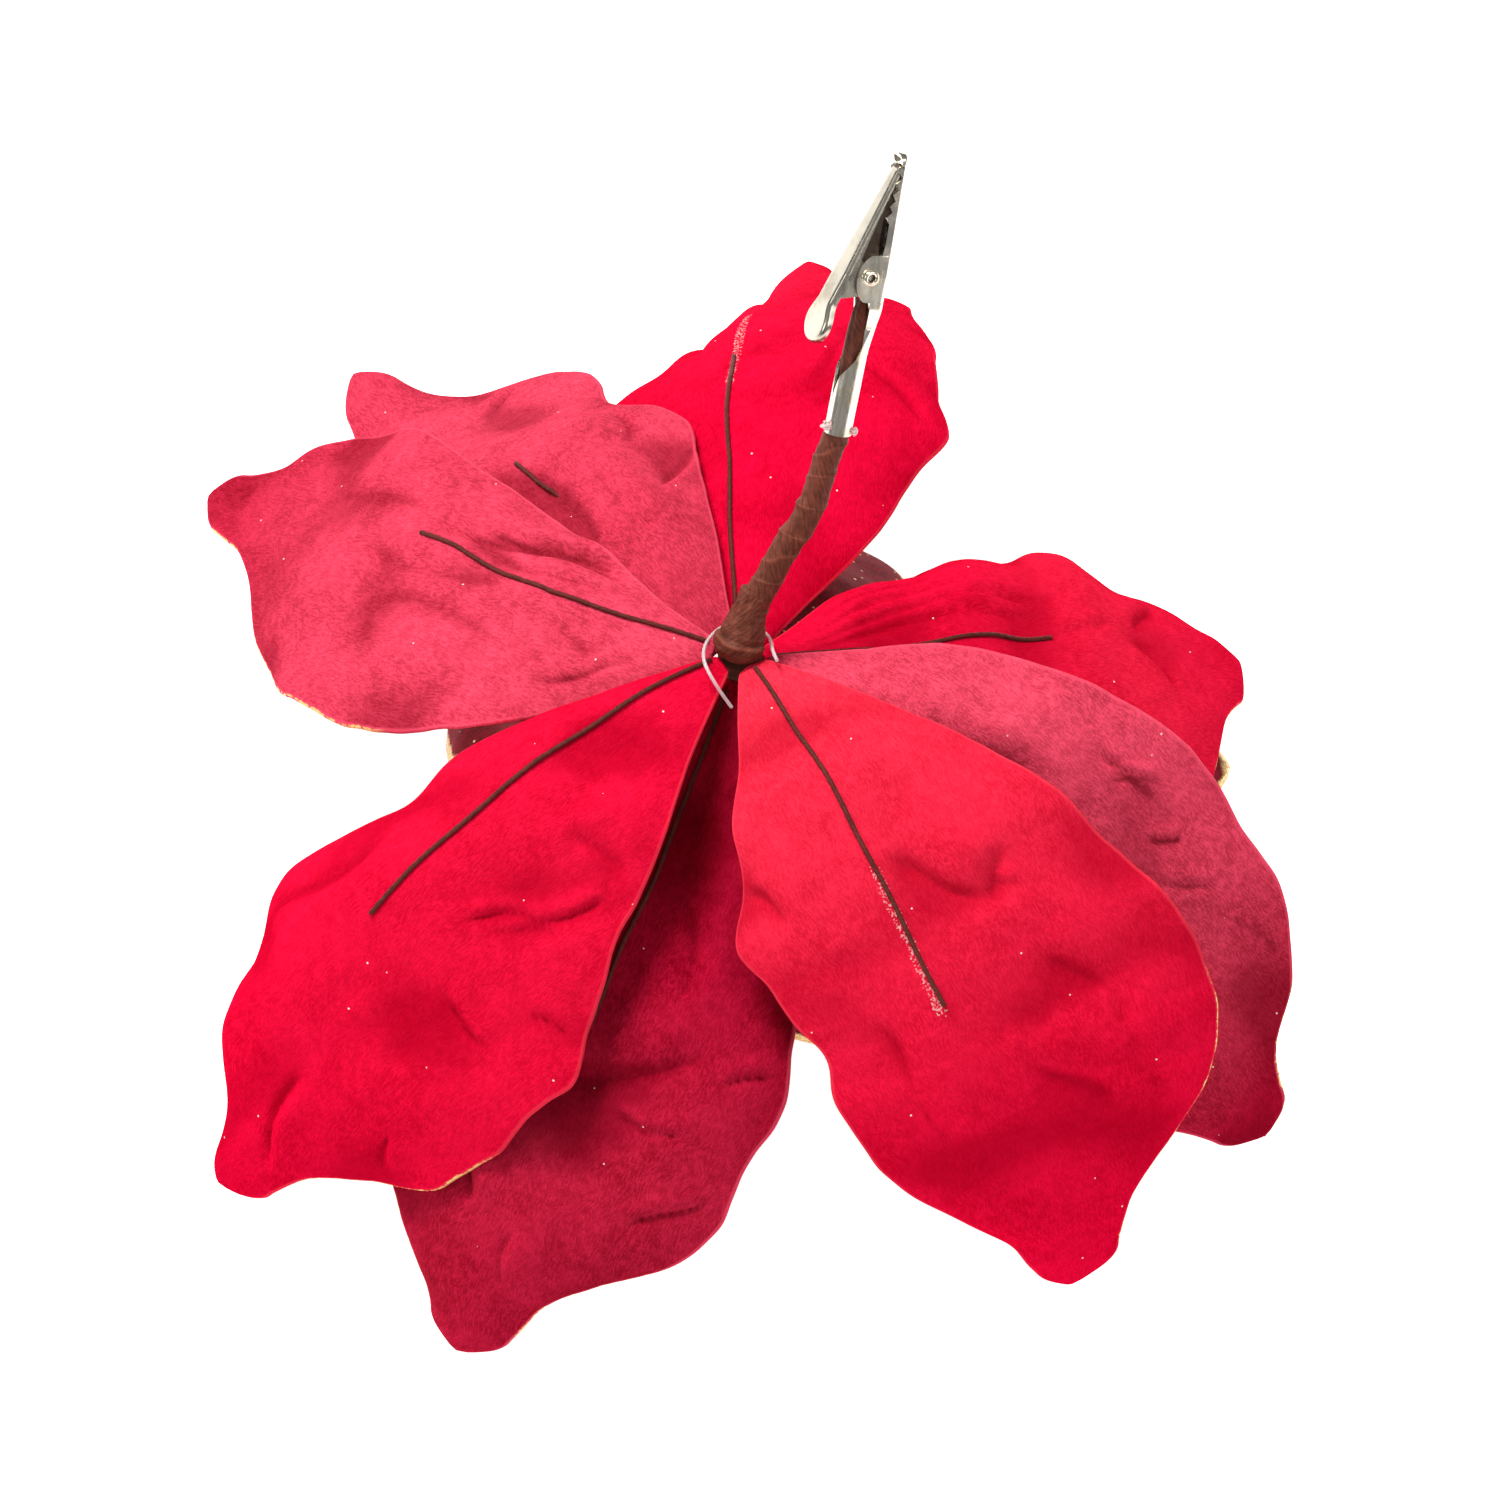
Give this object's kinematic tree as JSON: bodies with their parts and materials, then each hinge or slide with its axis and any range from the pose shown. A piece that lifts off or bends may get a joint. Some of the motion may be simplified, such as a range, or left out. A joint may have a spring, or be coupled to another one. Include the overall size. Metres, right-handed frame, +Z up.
{
  "type": "flower hair clip",
  "caption": "Large artificial velvet flower on a short taped wire stem, with a toothed spring clip crimped on the stem's end, so the flower clips onto hair or a branch.",
  "frame": {"origin": "bottom centre of the bounding box; the flower lies face down on its petal tips", "axes": "+Z up along the flower's axis from the face to the stem side, +Y towards the top petal and the side the stem leans to, +X to the right of a viewer looking along +Y"},
  "size_m": [0.1882, 0.2184, 0.1346],
  "materials": {
    "velvet_bright": "short-pile velvet, bright red back",
    "velvet_crimson": "short-pile velvet, crimson back",
    "velvet_burgundy": "burgundy velvet with a gold-glitter margin",
    "petal_wire": "paper-wrapped wire, dark brown",
    "core_tape": "wound floral tape",
    "centre_foam": "matte, glitter dusted",
    "stamen_gold": "gold-dusted",
    "stem_tape": "brown floral tape, waxy crepe",
    "nickel": "polished warm nickel plate",
    "spring_steel": "drawn spring wire",
    "hot_glue": "cured hot glue, pinkish white",
    "nylon_strand": "clear nylon, slightly pink"
  },
  "bodies": {
    "flower_head": {"flower_core": "core_tape", "flower_centre": "centre_foam", "stamens": "stamen_gold", "inner_petal_east": "velvet_burgundy", "inner_petal_north": "velvet_burgundy", "inner_petal_northwest": "velvet_burgundy", "inner_petal_southwest": "velvet_burgundy", "inner_petal_south": "velvet_burgundy", "calyx_tape": "stem_tape", "stem_tape_lower": "stem_tape", "tag_strand": "nylon_strand"},
    "clip_arm": {"stem_tape_upper": "stem_tape", "stem_end_bundle": "stem_tape", "clip_lower_jaw": "nickel", "clip_rivet": "nickel", "clip_spring_coil": "spring_steel", "glue_bead_upper": "hot_glue", "glue_bead_lower": "hot_glue"},
    "clip_lever": {"clip_lever_jaw": "nickel", "clip_spring_leg": "spring_steel"},
    "petal_lower_right_body": {"petal_lower_right": "velvet_bright", "wire_lower_right": "petal_wire"},
    "petal_lower_left_body": {"petal_lower_left": "velvet_bright", "wire_lower_left": "petal_wire"},
    "petal_left_body": {"petal_left": "velvet_crimson", "wire_left": "petal_wire"},
    "petal_right_body": {"petal_right": "velvet_crimson", "wire_right": "petal_wire"},
    "petal_bottom_body": {"petal_bottom": "velvet_crimson", "wire_bottom": "petal_wire"},
    "petal_upper_left_body": {"petal_upper_left": "velvet_crimson", "wire_upper_left": "petal_wire"},
    "petal_upper_right_body": {"petal_upper_right": "velvet_bright", "wire_upper_right": "petal_wire"},
    "petal_top_body": {"petal_top": "velvet_bright", "wire_top": "petal_wire"}
  },
  "joints": [
    {"name": "stem_bend", "type": "hinge", "parent": "flower_head", "child": "clip_arm", "pos_m": [0.01109, 0.00422, 0.08739], "axis": [0.7931, -0.609, 0], "range_deg": [-25, 40]},
    {"name": "lever_pivot", "type": "hinge", "parent": "clip_arm", "child": "clip_lever", "pos_m": [0.02102, 0.02791, 0.11945], "axis": [0.4156, -0.7604, 0.4991], "range_deg": [0, 25], "stiffness_Nm_per_rad": 0.03, "springref_deg": -68.75},
    {"name": "petal_lower_right_lift", "type": "hinge", "parent": "flower_head", "child": "petal_lower_right_body", "pos_m": [0.00352, -0.01464, 0.06632], "axis": [-0.8934, -0.4493, 0], "range_deg": [0, 12]},
    {"name": "petal_lower_left_lift", "type": "hinge", "parent": "flower_head", "child": "petal_lower_left_body", "pos_m": [-0.00278, -0.01309, 0.06612], "axis": [-0.585, 0.8111, 0], "range_deg": [0, 12]},
    {"name": "petal_left_lift", "type": "hinge", "parent": "flower_head", "child": "petal_left_body", "pos_m": [-0.00338, -0.00835, 0.06362], "axis": [0.3649, 0.9311, 0], "range_deg": [0, 10.2]},
    {"name": "petal_right_lift", "type": "hinge", "parent": "flower_head", "child": "petal_right_body", "pos_m": [0.0053, -0.01314, 0.06312], "axis": [-0.5934, -0.8049, 0], "range_deg": [0, 10.2]},
    {"name": "petal_bottom_lift", "type": "hinge", "parent": "flower_head", "child": "petal_bottom_body", "pos_m": [-0.00048, -0.01485, 0.06182], "axis": [-0.9367, 0.3502, 0], "range_deg": [0, 10.2]},
    {"name": "petal_upper_left_lift", "type": "hinge", "parent": "flower_head", "child": "petal_upper_left_body", "pos_m": [-0.00201, -0.0064, 0.06062], "axis": [0.7536, 0.6574, 0], "range_deg": [0, 8.4]},
    {"name": "petal_upper_right_lift", "type": "hinge", "parent": "flower_head", "child": "petal_upper_right_body", "pos_m": [0.00618, -0.00922, 0.06062], "axis": [0.1908, -0.9816, 0], "range_deg": [0, 8.4]},
    {"name": "petal_top_lift", "type": "hinge", "parent": "flower_head", "child": "petal_top_body", "pos_m": [0.00107, -0.00517, 0.05762], "axis": [0.9992, 0.0401, 0], "range_deg": [0, 6.6]}
  ],
  "couplings": [
    {"joint": "petal_lower_left_lift", "follows": "petal_lower_right_lift", "ratio": 1},
    {"joint": "petal_left_lift", "follows": "petal_lower_right_lift", "ratio": 0.85},
    {"joint": "petal_right_lift", "follows": "petal_lower_right_lift", "ratio": 0.85},
    {"joint": "petal_bottom_lift", "follows": "petal_lower_right_lift", "ratio": 0.85},
    {"joint": "petal_upper_left_lift", "follows": "petal_lower_right_lift", "ratio": 0.7},
    {"joint": "petal_upper_right_lift", "follows": "petal_lower_right_lift", "ratio": 0.7},
    {"joint": "petal_top_lift", "follows": "petal_lower_right_lift", "ratio": 0.55}
  ]
}
